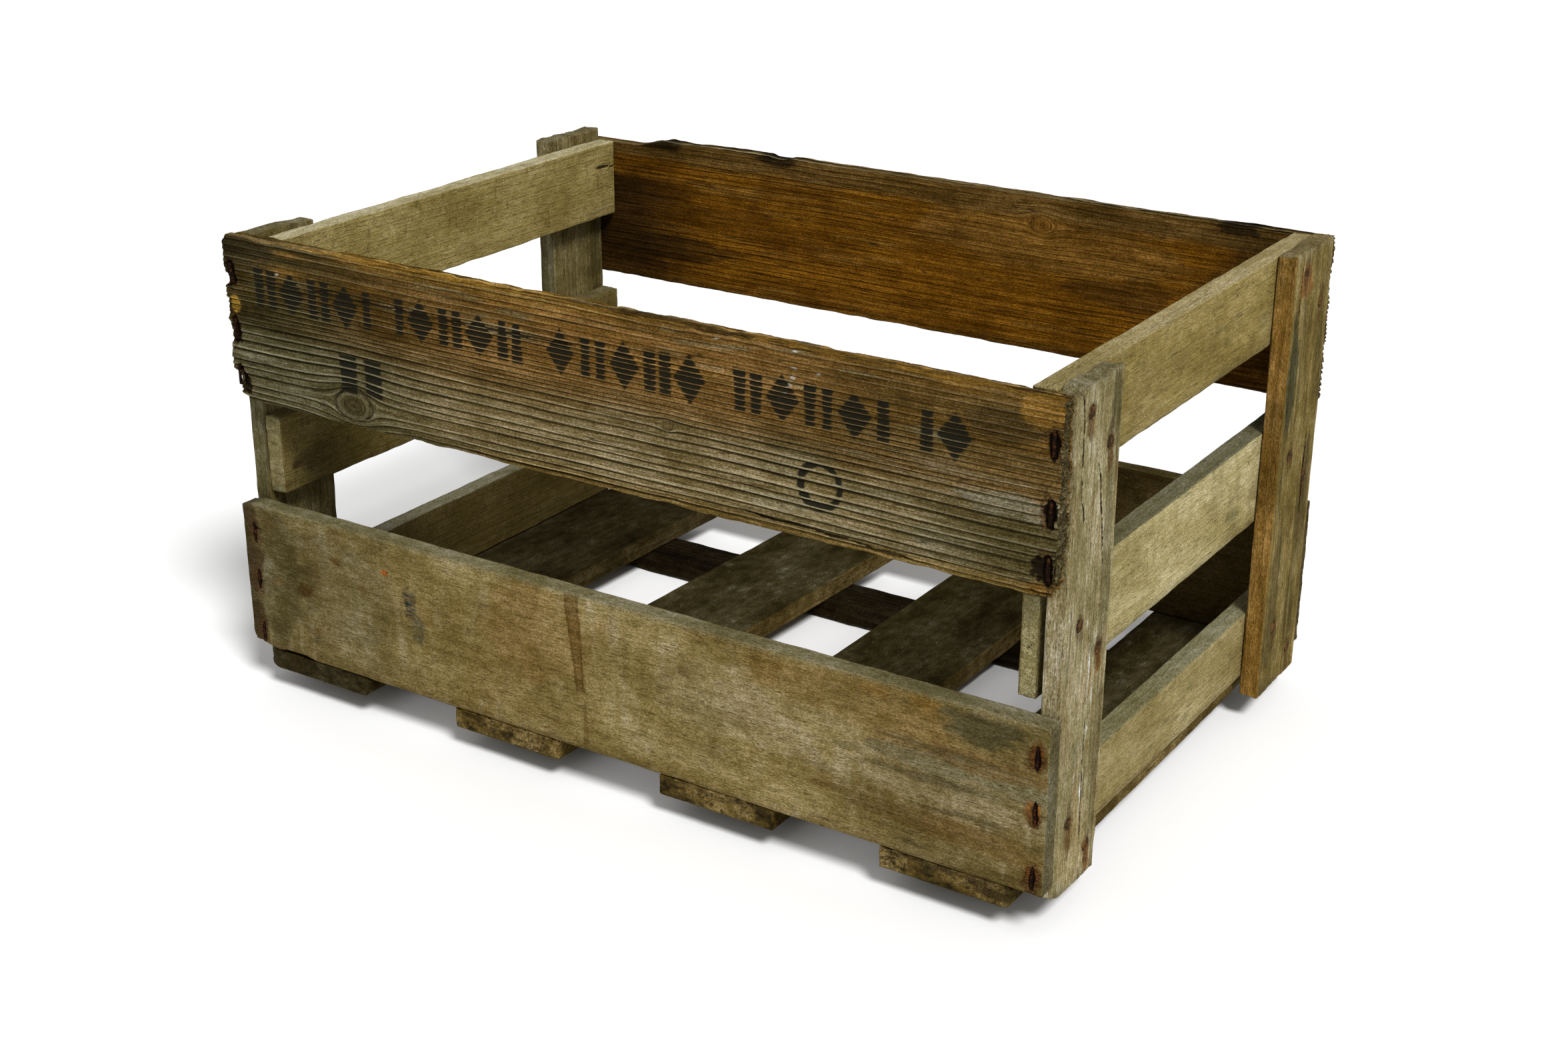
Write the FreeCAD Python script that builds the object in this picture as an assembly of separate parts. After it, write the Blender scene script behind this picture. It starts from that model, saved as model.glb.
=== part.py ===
"""Slatted wooden harvest crate, 500 mm long, nailed and stapled together.

Two side boards on each long side are stapled to four corner posts. Three slats close each end:
they stand inside the posts, between the side boards, and are nailed through the posts. Four floor
boards run across under the side boards, and two runners cross under the floor boards.

Frame: +X along the crate, the front face towards -Y, +Z up, millimetres. The origin is the centre
of the footprint, on the surface that the runners stand on.
"""
import FreeCAD, Part

import os

Vector = FreeCAD.Vector

# Outside size.
LENGTH = 500.0
WIDTH = 330.0

# Sawn thicknesses.
SIDE_BOARD_T = 11.0
POST_T = 11.0
SLAT_T = 12.0
FLOOR_BOARD_T = 12.0
RUNNER_T = 12.0
EDGE_R = 0.6

# Heights, measured from the surface that the crate stands on.
FLOOR_TOP = RUNNER_T + FLOOR_BOARD_T
POST_BOTTOM = 13.0
POST_TOP = 265.5

# Side boards: how far each end stops short of LENGTH, and the lower and upper edge above FLOOR_TOP.
SIDE_BOARDS = {
    "front_lower_board": {"side": -1, "left": 0.0, "right": 0.0, "low": 0.0, "high": 87.5},
    "front_upper_board": {"side": -1, "left": 3.0, "right": 1.0, "low": 148.0, "high": 240.0},
    "back_lower_board": {"side": 1, "left": 1.0, "right": 3.0, "low": 0.0, "high": 86.0},
    "back_upper_board": {"side": 1, "left": 2.0, "right": 3.0, "low": 146.0, "high": 238.0},
}

# Corner posts: the end and the side that each stands on, and its width along Y.
POST_INSET = 1.0
POSTS = {
    "left_front_post": {"end": -1, "side": -1, "width": 51.0},
    "left_back_post": {"end": -1, "side": 1, "width": 52.0},
    "right_front_post": {"end": 1, "side": -1, "width": 46.5},
    "right_back_post": {"end": 1, "side": 1, "width": 55.0},
}

# End slats: lower and upper edge above FLOOR_TOP, and the two nail heights as shares of the slat.
SLAT_END_GAP = 0.5
SLATS = {
    "left_bottom_slat": {"end": -1, "low": 0.0, "high": 44.0, "nails": (0.68, 0.14)},
    "left_middle_slat": {"end": -1, "low": 91.5, "high": 137.0, "nails": (0.68, 0.31)},
    "left_top_slat": {"end": -1, "low": 186.5, "high": 234.0, "nails": (0.75, 0.34)},
    "right_bottom_slat": {"end": 1, "low": 0.0, "high": 39.5, "nails": (0.68, 0.14)},
    "right_middle_slat": {"end": 1, "low": 92.0, "high": 143.5, "nails": (0.68, 0.31)},
    "right_top_slat": {"end": 1, "low": 191.0, "high": 239.5, "nails": (0.75, 0.34)},
}

# Floor boards: width, and where the centre line meets the front and the back of the crate.
FLOOR_BOARDS = {
    "floor_board_1": {"width": 75.0, "front_x": -200.0, "back_x": -190.0},
    "floor_board_2": {"width": 71.0, "front_x": -66.0, "back_x": -53.5},
    "floor_board_3": {"width": 69.5, "front_x": 68.0, "back_x": 70.0},
    "floor_board_4": {"width": 72.5, "front_x": 198.5, "back_x": 197.0},
}

# Runners: short enough to drop between the end slats of a crate below.
RUNNER_LENGTH = 448.0
RUNNER_WIDTH = 33.0
RUNNER_OFFSET = 101.5

# Nails through the posts into the slats.
NAIL_HEAD_R = 3.3
NAIL_HEAD_T = 1.0
NAIL_HEAD_CHAMFER = 0.35
NAIL_SHANK_R = 1.4
NAIL_LENGTH = 22.2
NAIL_TIP = 3.5
NAIL_ROWS = (0.31, 0.77)

# Staples. The crown is sunk a little below the face that the staple is driven into.
CROWN = 11.2
WIRE_T = 1.0
WIRE_WIDTH = 1.3
CROWN_R = 0.8
CHISEL = 1.5
SIDE_STAPLE_LENGTH = 25.0
FLOOR_STAPLE_LENGTH = 28.0
RUNNER_STAPLE_LENGTH = 21.0
LEFT_STAPLE_SHIFT = 2.0
UPPER_STAPLE_ROWS = (0.15, 0.43, 0.77)
LOWER_STAPLE_ROWS = (0.09, 0.47, 0.80)
FLOOR_STAPLE_SPREAD = 18.0
RUNNER_STAPLE_SPREAD = 19.0

SINK = 0.3
CLEAR = 2.0

POST_OUTSIDE = LENGTH / 2 - POST_INSET
POST_INSIDE = POST_OUTSIDE - POST_T
SLAT_INSIDE = POST_INSIDE - SLAT_T
BOARD_INSIDE = WIDTH / 2 - SIDE_BOARD_T

X_AXIS = Vector(1, 0, 0)
Y_AXIS = Vector(0, 1, 0)
Z_AXIS = Vector(0, 0, 1)


def span(sign, near, far):
    """The two distances on one side of the middle plane, in rising order."""
    return sorted((sign * near, sign * far))


def sawn(x, y, z):
    """A rectangular piece of timber with every edge slightly rounded."""
    box = Part.makeBox(x[1] - x[0], y[1] - y[0], z[1] - z[0], Vector(x[0], y[0], z[0]))
    return box.makeFillet(EDGE_R, box.Edges)


def placed(shape, origin, crown, out):
    """The shape with its own X along crown and its own Z along out, at origin."""
    turn = FreeCAD.Rotation(crown, out.cross(crown), out, "ZXY")
    copy = shape.copy()
    copy.Placement = FreeCAD.Placement(origin, turn)
    return copy


# Timber

def side_board(spec):
    x = (-LENGTH / 2 + spec["left"], LENGTH / 2 - spec["right"])
    y = span(spec["side"], BOARD_INSIDE, WIDTH / 2)
    return sawn(x, y, (FLOOR_TOP + spec["low"], FLOOR_TOP + spec["high"]))


def post_y(spec):
    """The post's range along Y: its outer edge lies against the side boards."""
    return span(spec["side"], BOARD_INSIDE, BOARD_INSIDE - spec["width"])


def post(spec):
    x = span(spec["end"], POST_INSIDE, POST_OUTSIDE)
    return sawn(x, post_y(spec), (POST_BOTTOM, POST_TOP))


def slat(spec):
    x = span(spec["end"], SLAT_INSIDE, POST_INSIDE)
    reach = BOARD_INSIDE - SLAT_END_GAP
    return sawn(x, (-reach, reach), (FLOOR_TOP + spec["low"], FLOOR_TOP + spec["high"]))


def floor_board_centre(spec, y):
    """The X of the board's centre line at y."""
    share = y / WIDTH + 0.5
    return spec["front_x"] + share * (spec["back_x"] - spec["front_x"])


def floor_board(spec):
    """A board laid by eye, so its long edges are not quite square to the side boards."""
    half = spec["width"] / 2
    front = Vector(spec["front_x"], -WIDTH / 2, RUNNER_T)
    back = Vector(spec["back_x"], WIDTH / 2, RUNNER_T)
    corners = [front - X_AXIS * half, front + X_AXIS * half, back + X_AXIS * half, back - X_AXIS * half]
    outline = Part.Face(Part.makePolygon(corners + corners[:1]))
    board = outline.extrude(Z_AXIS * FLOOR_BOARD_T)
    return board.makeFillet(EDGE_R, board.Edges)


def runner(side):
    x = (-RUNNER_LENGTH / 2, RUNNER_LENGTH / 2)
    middle = side * RUNNER_OFFSET
    return sawn(x, (middle - RUNNER_WIDTH / 2, middle + RUNNER_WIDTH / 2), (0.0, RUNNER_T))


# Fasteners, each driven along its own -Z into a face at its own Z = 0. A top above 0 makes the
# pocket that the fastener leaves in the timber, which is open to the face.

def nail(top):
    shoulder = -SINK - NAIL_HEAD_T
    profile = [
        Vector(0, 0, top),
        Vector(NAIL_HEAD_R - NAIL_HEAD_CHAMFER, 0, top),
        Vector(NAIL_HEAD_R, 0, top - NAIL_HEAD_CHAMFER),
        Vector(NAIL_HEAD_R, 0, shoulder),
        Vector(NAIL_SHANK_R, 0, shoulder),
        Vector(NAIL_SHANK_R, 0, NAIL_TIP - NAIL_LENGTH),
        Vector(0, 0, -NAIL_LENGTH),
    ]
    face = Part.Face(Part.makePolygon(profile + profile[:1]))
    return face.revolve(Vector(0, 0, 0), Z_AXIS, 360)


def staple(top, length):
    outer = CROWN / 2
    inner = outer - WIRE_T
    profile = [
        Vector(-outer, -WIRE_WIDTH / 2, top),
        Vector(outer, -WIRE_WIDTH / 2, top),
        Vector(outer, -WIRE_WIDTH / 2, -length),
        Vector(inner, -WIRE_WIDTH / 2, CHISEL - length),
        Vector(inner, -WIRE_WIDTH / 2, -SINK - WIRE_T),
        Vector(-inner, -WIRE_WIDTH / 2, -SINK - WIRE_T),
        Vector(-inner, -WIRE_WIDTH / 2, CHISEL - length),
        Vector(-outer, -WIRE_WIDTH / 2, -length),
    ]
    wire = Part.Face(Part.makePolygon(profile + profile[:1])).extrude(Y_AXIS * WIRE_WIDTH)
    if top > 0:
        return wire
    bends = [e for e in wire.Edges if is_crown_bend(e, top, outer)]
    return wire.makeFillet(CROWN_R, bends)


def is_crown_bend(edge, top, outer):
    """Whether the edge is one of the two outer corners where the wire turns from crown to leg."""
    middle = edge.CenterOfMass
    return abs(middle.z - top) < 0.01 and abs(abs(middle.x) - outer) < 0.01


def staple_pair(length):
    """A staple and its pocket."""
    return staple(-SINK, length), staple(CLEAR, length)


# Places of the fasteners: (origin, crown direction, outward direction).

def post_nail_places(name):
    spec = POSTS[name]
    y_low, y_high = post_y(spec)
    places = []
    for slat_spec in SLATS.values():
        if slat_spec["end"] != spec["end"]:
            continue
        for row, height in zip(NAIL_ROWS, slat_spec["nails"]):
            y = y_low + row * (y_high - y_low)
            z = FLOOR_TOP + slat_spec["low"] + height * (slat_spec["high"] - slat_spec["low"])
            places.append((Vector(spec["end"] * POST_OUTSIDE, y, z), Y_AXIS, X_AXIS * spec["end"]))
    return places


def side_staple_places(name):
    spec = SIDE_BOARDS[name]
    rows = UPPER_STAPLE_ROWS if spec["low"] > 0 else LOWER_STAPLE_ROWS
    places = []
    for end in (-1, 1):
        x = end * (POST_INSIDE + POST_OUTSIDE) / 2
        if end < 0:
            x += LEFT_STAPLE_SHIFT
        for row in rows:
            z = FLOOR_TOP + spec["low"] + row * (spec["high"] - spec["low"])
            places.append((Vector(x, spec["side"] * WIDTH / 2, z), Z_AXIS, Y_AXIS * spec["side"]))
    return places


def floor_staple_places(side):
    """Up through the floor boards into the lower edge of the side board above."""
    y = side * (WIDTH - SIDE_BOARD_T) / 2
    return [
        (Vector(floor_board_centre(spec, y) + across, y, RUNNER_T), X_AXIS, -Z_AXIS)
        for spec in FLOOR_BOARDS.values()
        for across in (-FLOOR_STAPLE_SPREAD, FLOOR_STAPLE_SPREAD)
    ]


def runner_staple_places(side):
    """Up through a runner into the floor boards."""
    y = side * RUNNER_OFFSET
    return [
        (Vector(floor_board_centre(spec, y) + across, y, 0), Y_AXIS, -Z_AXIS)
        for spec in FLOOR_BOARDS.values()
        for across in (-RUNNER_STAPLE_SPREAD, RUNNER_STAPLE_SPREAD)
    ]


def build_timber():
    timber = {name: side_board(spec) for name, spec in SIDE_BOARDS.items()}
    timber.update({name: post(spec) for name, spec in POSTS.items()})
    timber.update({name: slat(spec) for name, spec in SLATS.items()})
    timber.update({name: floor_board(spec) for name, spec in FLOOR_BOARDS.items()})
    timber.update({"front_runner": runner(-1), "back_runner": runner(1)})
    return timber


def build_fasteners():
    """Each fastener node's places, with the piece and the pocket that repeat there."""
    nail_pair = nail(-SINK), nail(CLEAR)
    side_pair = staple_pair(SIDE_STAPLE_LENGTH)
    floor_pair = staple_pair(FLOOR_STAPLE_LENGTH)
    runner_pair = staple_pair(RUNNER_STAPLE_LENGTH)
    groups = {}
    for name in POSTS:
        groups[name + "_nails"] = (post_nail_places(name), nail_pair)
    for name in SIDE_BOARDS:
        groups[name + "_staples"] = (side_staple_places(name), side_pair)
    for word, side in (("front", -1), ("back", 1)):
        groups[word + "_floor_staples"] = (floor_staple_places(side), floor_pair)
        groups[word + "_runner_staples"] = (runner_staple_places(side), runner_pair)
    return groups


def main():
    timber = build_timber()
    nodes = {}
    pockets = []
    for name, (places, (piece, pocket)) in build_fasteners().items():
        nodes[name] = Part.makeCompound([placed(piece, *place) for place in places])
        pockets += [placed(pocket, *place) for place in places]
    for name, shape in timber.items():
        near = [pocket for pocket in pockets if shape.BoundBox.intersect(pocket.BoundBox)]
        nodes[name] = shape.cut(near) if near else shape
    os.makedirs("parts", exist_ok=True)
    for name, shape in sorted(nodes.items()):
        shape.exportStep(f"parts/{name}.step")
        box = shape.BoundBox
        print(f"{name}: {len(shape.Solids)} solids, {box.XLength:.1f} x {box.YLength:.1f} x {box.ZLength:.1f} mm")


main()
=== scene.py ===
"""Looks of the slatted wooden crate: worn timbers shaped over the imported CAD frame, their materials,
a soft studio light and the camera. Lengths inside the timber functions are in millimetres."""

import math

import bpy
import numpy as np
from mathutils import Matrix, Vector


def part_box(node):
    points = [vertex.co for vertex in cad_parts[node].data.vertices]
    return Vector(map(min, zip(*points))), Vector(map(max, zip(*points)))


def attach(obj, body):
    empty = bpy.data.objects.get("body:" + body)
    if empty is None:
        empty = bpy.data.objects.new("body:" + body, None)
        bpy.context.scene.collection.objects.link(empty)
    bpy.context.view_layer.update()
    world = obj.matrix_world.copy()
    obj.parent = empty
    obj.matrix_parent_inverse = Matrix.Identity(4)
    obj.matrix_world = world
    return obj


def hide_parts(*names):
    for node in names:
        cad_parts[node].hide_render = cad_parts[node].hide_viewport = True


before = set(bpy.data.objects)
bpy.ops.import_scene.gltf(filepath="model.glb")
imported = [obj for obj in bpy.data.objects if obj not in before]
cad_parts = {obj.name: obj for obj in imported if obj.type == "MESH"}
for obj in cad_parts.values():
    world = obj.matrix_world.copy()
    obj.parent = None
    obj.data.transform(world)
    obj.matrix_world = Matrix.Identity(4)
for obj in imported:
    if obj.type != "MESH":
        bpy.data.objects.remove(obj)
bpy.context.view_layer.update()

MM = 0.001

OUTER, INNER = 1, -1

# Timber colours, as the share of light that the wood gives back.
GREY = (0.3, 0.27, 0.16)
OLIVE = (0.17, 0.16, 0.085)
ORANGE = (0.42, 0.22, 0.045)
CHESTNUT = (0.22, 0.115, 0.025)
BROWN = (0.15, 0.09, 0.026)
SOOT = (0.035, 0.026, 0.012)

# Colours of wear and dirt for the wood; the bleach is partly a painted highlight, the hollow is dirt with
# painted shade.
BLEACH_AND_HIGHLIGHT = (0.31, 0.28, 0.165)
PORE = (0.05, 0.032, 0.012)
HAIR_CRACK = (0.012, 0.008, 0.004)
DUST = (0.36, 0.32, 0.2)
END_GRAIN = (0.026, 0.019, 0.008)
INK = (0.01, 0.01, 0.006)
RUST_DARK = (0.02, 0.011, 0.005)
RUST_BRIGHT = (0.12, 0.056, 0.016)
HOLLOW_DIRT_AND_SHADE = (0.01, 0.006, 0.003)
IRON_PIT = (0.01, 0.006, 0.004)

GRAIN_SHIFT = 37.0  # keeps two timbers from sharing one stretch of grain
WOOD_BUMP = 0.0008
IRON_BUMP = 0.0006


# ---- noise


def hashed(i, j, k, seed):
    """Random values from 0 to 1 at whole-number lattice points."""
    n = (i * 374761393 + j * 668265263 + k * 1440662683 + seed * 1274126177) & 0xFFFFFFFF
    n = ((n ^ (n >> 13)) * 1274126177) & 0xFFFFFFFF
    return (n ^ (n >> 16)) / 4294967295.0


def noise(x, y, z, seed):
    """Smooth noise from -1 to 1, with features about one unit across."""
    cells = []
    eased = []
    for value in np.broadcast_arrays(x, y, z):
        whole = np.floor(value)
        part = value - whole
        cells.append(whole.astype(np.int64))
        eased.append(part * part * part * (part * (part * 6 - 15) + 10))
    total = 0.0
    for corner in range(8):
        step = (corner & 1, corner >> 1 & 1, corner >> 2 & 1)
        weight = 1.0
        for share, one in zip(eased, step):
            weight = weight * (share if one else 1 - share)
        total = total + weight * hashed(*(c + one for c, one in zip(cells, step)), seed)
    return total * 2 - 1


def rough(x, y, z, octaves, seed):
    """Noise at several sizes, each half as large and half as strong as the one before."""
    total = 0.0
    strength = 1.0
    for octave in range(octaves):
        size = 2.03**octave
        total = total + strength * noise(x * size, y * size, z * size, seed + 17 * octave)
        strength *= 0.5
    return total / (2 - 2 * strength)


def ease(x, low, high):
    """0 at low and 1 at high, smooth between; low may be the larger of the two."""
    f = np.clip((x - low) / (high - low), 0, 1)
    return f * f * (3 - 2 * f)


# ---- timbers


def grid_lines(length, step, spots=()):
    """Places of the grid lines along one direction. They are closer at both ends, and within reach
    of each (place, reach, fine step) in spots."""
    x = np.linspace(0, length, int(length * 10) + 1)
    spacing = np.full(x.shape, step)
    for place, reach, fine in [(0, 1.6, 0.4), (length, 1.6, 0.4), *spots]:
        spacing = np.where(np.abs(x - place) < reach, np.minimum(spacing, fine), spacing)
    total = np.concatenate([[0], np.cumsum(np.diff(x) / spacing[1:])])
    count = int(math.ceil(total[-1]))
    return np.interp(np.linspace(0, total[-1], count + 1), total, x)


class Timber:
    """One piece of wood. s runs along it, t across it, and w through it, from 0 at its middle to plus
    half its thickness at the outer face (the upper face for lying timbers)."""

    def __init__(self, node, axes, out, seed, lean=0.0):
        low, high = (np.array(corner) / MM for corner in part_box(node))
        self.node = node
        self.order = ["XYZ".index(axis) for axis in axes]
        self.out = out
        self.seed = seed
        self.lean = lean
        self.low = low
        self.high = high
        self.size = (high - low)[self.order]
        self.size[1] -= abs(lean)
        self.middle = ((low + high) / 2)[self.order]

    def cut(self, steps, spots=()):
        """Makes the surface lattice of the whole timber and its outward quads. It's finer within reach
        of each (s, reach, fine step) in spots."""
        lines = [
            grid_lines(self.size[0], steps[0], spots),
            grid_lines(self.size[1], steps[1]),
            grid_lines(self.size[2], steps[2]) - self.size[2] / 2,
        ]
        skin = np.ones([len(line) for line in lines], bool)
        skin[1:-1, 1:-1, 1:-1] = False
        number = np.full(skin.shape, -1)
        number[skin] = np.arange(skin.sum())
        i, j, k = np.nonzero(skin)
        self.s, self.t, self.w = lines[0][i], lines[1][j], lines[2][k]
        even = self.order in ([0, 1, 2], [1, 2, 0], [2, 0, 1])
        quads = []
        for axis in range(3):
            for end in (0, -1):
                sheet = number.take(end, axis)
                ring = [sheet[:-1, :-1], sheet[1:, :-1], sheet[1:, 1:], sheet[:-1, 1:]]
                outward = (end == -1) == (axis != 1)
                if outward != (even == (self.out > 0)):
                    ring.reverse()
                quads.append(np.stack([corner.ravel() for corner in ring], 1))
        self.quads = np.concatenate(quads)
        self.depth = np.zeros(len(self.s))
        self.hollow = np.zeros(len(self.s))
        self.rust = np.zeros(len(self.s))
        self.ink = np.zeros(len(self.s))
        self.rings = np.zeros((len(self.s), 3))
        self.flow = self.t.copy()

    def round_edges(self, radius):
        """Gives every edge of the block a rounding, of one radius or of one radius a point."""
        half = self.size / 2
        point = np.stack([self.s - half[0], self.t - half[1], self.w], 1)
        r = np.broadcast_to(radius, self.s.shape)[:, None]
        core = np.clip(point, r - half, half - r)
        away = point - core
        self.normal = away / np.linalg.norm(away, axis=1)[:, None]
        self.place = core + self.normal * r

    def trim(self, axis, side, loss, reach):
        """Takes loss off one end (axis 0) or edge (axis 1), and eases the loss out over reach."""
        from_end = self.size[axis] / 2 - side * self.place[:, axis]
        share = np.clip(1 - from_end / reach, 0, 1) ** 2
        self.place[:, axis] -= side * np.clip(loss, 0, reach / 2.2) * share

    def facing(self, face):
        """1 on the outer face (or on the inner one), 0 on the other, and 1 everywhere for face 0."""
        return 1.0 if face == 0 else ease(face * self.normal[:, 2], 0.1, 0.6)

    def upward(self):
        """1 on the edge that faces along t: the upper edge of the boards and slats."""
        return ease(self.normal[:, 1], 0.3, 0.8)

    def spot(self, s, t, reach_s, reach_t, face=0, ragged=0.35):
        """A ragged patch: 1 inside and 0 outside."""
        far = np.hypot((self.s - s) / reach_s, (self.t - t) / reach_t)
        wander = rough(self.s / reach_s * 1.3, self.t / reach_t * 1.3, self.w / 9, 4, self.seed + int(s + t))
        return ease(far + ragged * wander, 1.0, 0.72) * self.facing(face)

    def patches(self, size_s, size_t, low, high, seed, face=0):
        """Scattered patches of the given size, where the noise climbs from low to high."""
        cloud = rough(self.s / size_s, self.flow / size_t, self.w / 14, 4, self.seed + seed)
        return ease(cloud, low, high) * self.facing(face)

    def crack(self, points, width, depth, seed, face=OUTER):
        """A dark crack through points (s, t) with rising s, thin at both ends."""
        along, across = zip(*points)
        wander = 0.9 * rough(self.s / 14, 0, 0, 4, self.seed + seed)
        width = width * (0.8 + 0.5 * rough(self.s / 5, 0, 0, 2, self.seed + seed + 1))
        off = np.abs(self.t - np.interp(self.s, along, across) - wander)
        ends = ease(self.s, along[0] - 3, along[0] + 12) * ease(self.s, along[-1] + 3, along[-1] - 12)
        mask = ends * self.facing(face)
        self.depth += depth * mask * ease(off, width, width * 0.3)
        # The dark band round the crack is dirt with painted shade.
        shade = mask * ease(off, width * 1.5, width * 0.7)
        self.hollow = np.maximum(self.hollow, shade)

    def dig(self, mask, depth, dark=1.0):
        """Takes depth off the surface where mask is 1, and darkens the hollow with dirt and painted shade.
        """
        self.depth += mask * depth
        self.hollow = np.maximum(self.hollow, np.sqrt(mask) * dark)

    def own(self, low, high):
        """Middle and half size, along s and t, of a box given in the crate's frame."""
        centre = ((low + high) / 2)[self.order] - self.middle
        half = ((high - low) / 2)[self.order]
        lean = self.lean * centre[0] / self.size[0]
        return centre[0] + self.size[0] / 2, centre[1] - lean + self.size[1] / 2, half[0], half[1]

    def build(self, tint, kind, tone):
        """Carves the collected depth, makes the mesh and puts it in place of the CAD node. tone
        scales the tint, and kind is one of the woods."""
        slot, material = kind
        tint = np.clip(tint, 0, 1) * tone
        self.place -= self.normal * self.depth[:, None]
        shaped = self.place.copy()
        shaped[:, 1] += self.lean * shaped[:, 0] / self.size[0]
        shaped[:, 2] *= self.out
        points = np.empty_like(shaped)
        points[:, self.order] = shaped + self.middle
        points = np.clip(points, self.low, self.high) * MM
        mesh = bpy.data.meshes.new(self.node + "_wood")
        mesh.from_pydata(points, [], self.quads.tolist())
        mesh.shade_smooth()
        cut = np.abs(self.normal[:, 0]) > 0.75
        marks = np.stack([self.rust, self.ink, self.hollow, cut], 1)
        grain = np.stack([self.s + GRAIN_SHIFT * self.seed, self.flow, self.w], 1)
        solid = np.concatenate([tint, np.ones((len(tint), 1))], 1)
        add_attribute(mesh, "tint", "FLOAT_COLOR", "color", solid)
        add_attribute(mesh, "marks", "FLOAT_COLOR", "color", marks)
        add_attribute(mesh, "grain", "FLOAT_VECTOR", "vector", grain)
        add_attribute(mesh, "rings", "FLOAT_VECTOR", "vector", self.rings)
        mesh.materials.append(material)
        piece = bpy.data.objects.new(self.node + "_wood", mesh)
        show(piece)
        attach(piece, "root")
        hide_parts(self.node)


def show(thing):
    """Puts an object into the scene."""
    bpy.context.scene.collection.objects.link(thing)


def add_attribute(mesh, name, kind, field, values):
    """Stores one value a vertex under a name that the material reads."""
    attribute = mesh.attributes.new(name, kind, "POINT")
    attribute.data.foreach_set(field, np.ascontiguousarray(values, np.float32).ravel())


class Paint:
    """The colour of a timber, point by point, built up in layers."""

    def __init__(self, timber, colour):
        self.timber = timber
        self.rgb = np.tile(np.array(colour, float), (len(timber.s), 1))

    def over(self, mask, colour, strength=1.0):
        mask = np.broadcast_to(mask, len(self.rgb))[:, None] * strength
        self.rgb += mask * (np.array(colour) - self.rgb)

    def spot(self, s, t, reach_s, reach_t, ragged, colour, strength=1.0, face=OUTER):
        self.over(self.timber.spot(s, t, reach_s, reach_t, face, ragged), colour, strength)

    def patches(self, size_s, size_t, low, high, seed, colour, strength=1.0, face=0):
        self.over(self.timber.patches(size_s, size_t, low, high, seed, face), colour, strength)


def outer_ends(node, axis, side, gap):
    """Boxes, in millimetres, of the crowns or heads that a fastener node shows on one side. Points
    closer than gap belong together."""
    points = np.array([v.co[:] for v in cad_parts[node].data.vertices]) / MM
    height = side * points[:, axis]
    groups = []
    for point in points[height > height.max() - 0.5]:
        for group in groups:
            if np.all(point > group[0] - gap) and np.all(point < group[1] + gap):
                group[0] = np.minimum(group[0], point)
                group[1] = np.maximum(group[1], point)
                break
        else:
            groups.append([point.copy(), point.copy()])
    return groups


def ring_places(low, high, spacing, seed):
    """Uneven growth rings from low to high; spacing gives the local ring width."""
    draw = np.random.default_rng(seed)
    places = [low]
    while places[-1] < high:
        places.append(places[-1] + spacing(places[-1]) * draw.uniform(0.7, 1.35))
    return np.array(places)


def wander_grain(b, amount):
    """Bends the grain gently along the timber."""
    b.flow = b.t + amount * noise(b.s / 160, b.t / 70, b.w / 30, b.seed + 3)
    b.flow += 0.3 * amount * noise(b.s / 46, b.t / 15, b.w / 15, b.seed + 4)


def knot(b, s, t, radius, stretch=1.6):
    """Bends the grain round a knot. Gives the distance from its middle in knot radii."""
    along = (b.s - s) / stretch
    across = b.t - t
    away = np.hypot(along, across) / radius
    push = np.clip(1 - 1 / np.maximum(away, 1e-3) ** 2, 0, 1)
    bent = b.flow - across * (1 - push) * np.exp(-away / 5)
    b.flow = np.where(away < 1, t + 1.4 * radius * away, bent)
    return away


def grow_rings(b, places, strength):
    """Turns the bent grain into ring numbers and sets how strongly the rings show."""
    b.rings[:, 0] = np.interp(b.flow + 0.35 * b.w, places, np.arange(len(places)))
    b.rings[:, 1] = strength


def ridges(b, height):
    """Wears the soft part of each ring away, so that each ring stands out as a ridge."""
    part = b.rings[:, 0] % 1.0
    worn = np.where(part < 0.86, (part / 0.86) ** 1.7, ease(part, 1.0, 0.86))
    b.depth += worn * height * b.rings[:, 1]


def fibres(b, amount):
    """Fine unevenness along the grain and a little across it."""
    fine = 0.5 + 0.5 * rough(b.s / 26, b.flow * 0.8, b.w * 0.8, 3, b.seed + 8)
    wave = 0.5 + 0.5 * noise(b.s / 70, b.t / 25, b.w / 25, b.seed + 9)
    b.depth += amount * fine + 1.2 * amount * wave


def frayed_edges(b, amount, size=9.0):
    """Uneven loss along both long edges and both ends."""
    for side in (-1, 1):
        along = rough(b.s / size, 3 * side, b.w / 4, 4, b.seed + 21 + side)
        b.trim(1, side, amount * np.clip(0.55 + along, 0, 2), 9)
        over = rough(b.t / (0.5 * size), 5 * side, b.w / 4, 4, b.seed + 31 + side)
        b.trim(0, side, amount * np.clip(0.55 + 1.1 * over, 0, 2), 9)


def rough_ends(b, amount):
    """Torn end grain."""
    ends = np.abs(b.normal[:, 0]) > 0.5
    pits = 0.5 + 0.5 * rough(b.t / 1.3, b.w / 1.1, b.s / 5, 3, b.seed + 41)
    b.depth += ends * pits * amount


def waves(x, pitch):
    """Even saw marks from 0 to 1, one every pitch."""
    return 0.5 + 0.5 * np.sin(x * 2 * math.pi / pitch)


def saw(b, radius, bend, rings, shows, ridge, fibre, fray, ends):
    """The plain sawn surface: rounded edges, bent grain, faint rings, fibres and worn edges. rings is
    (lowest, highest, width, seed) and fray is (amount, size)."""
    b.round_edges(radius)
    wander_grain(b, bend)
    low, high, width, seed = rings
    grow_rings(b, ring_places(low, high, lambda t: width, seed), shows)
    ridges(b, ridge)
    fibres(b, fibre)
    frayed_edges(b, *fray)
    rough_ends(b, ends)


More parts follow.
